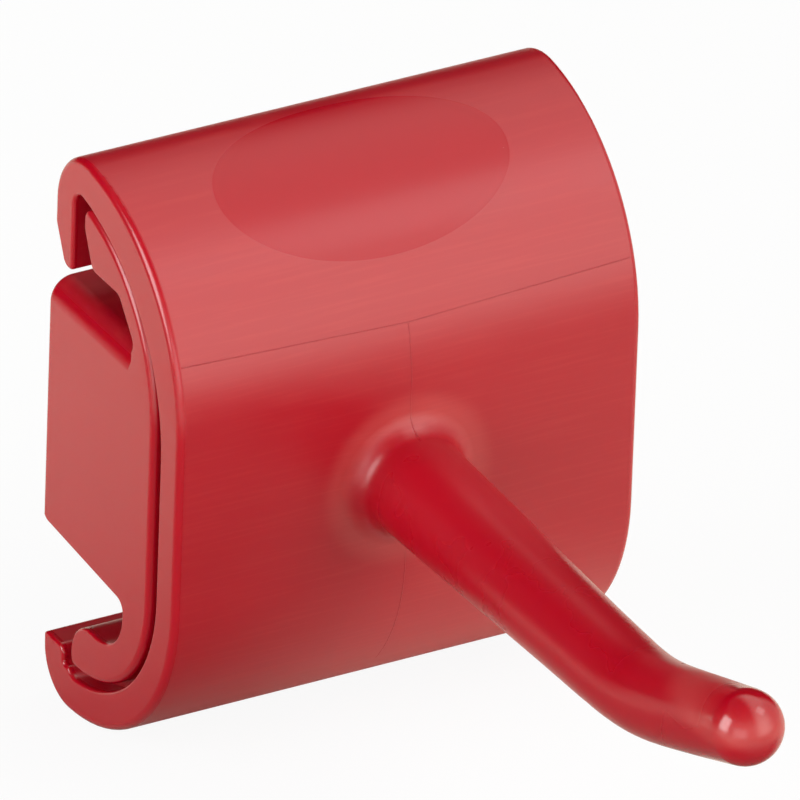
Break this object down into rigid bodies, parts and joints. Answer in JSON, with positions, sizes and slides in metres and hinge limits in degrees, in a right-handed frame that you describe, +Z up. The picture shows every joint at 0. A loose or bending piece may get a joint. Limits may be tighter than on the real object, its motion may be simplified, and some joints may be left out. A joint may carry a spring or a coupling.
{
  "type": "wall hook module",
  "caption": "Moulded red plastic hook module for a wall rail: a curved shell with lips that clip over the rail, a seat block behind and a round hook with an upturned end.",
  "frame": {"origin": "on the seat block's flat back, at mid-width and level with the middle of the flat front", "axes": "+Z up, -Y out from the wall along the hook, X along the rail"},
  "size_m": [0.082, 0.153, 0.0983],
  "materials": {
    "red_plastic": "satin, with faint flow lines"
  },
  "bodies": {
    "root": {"hook_module": "red_plastic"}
  },
  "joints": []
}
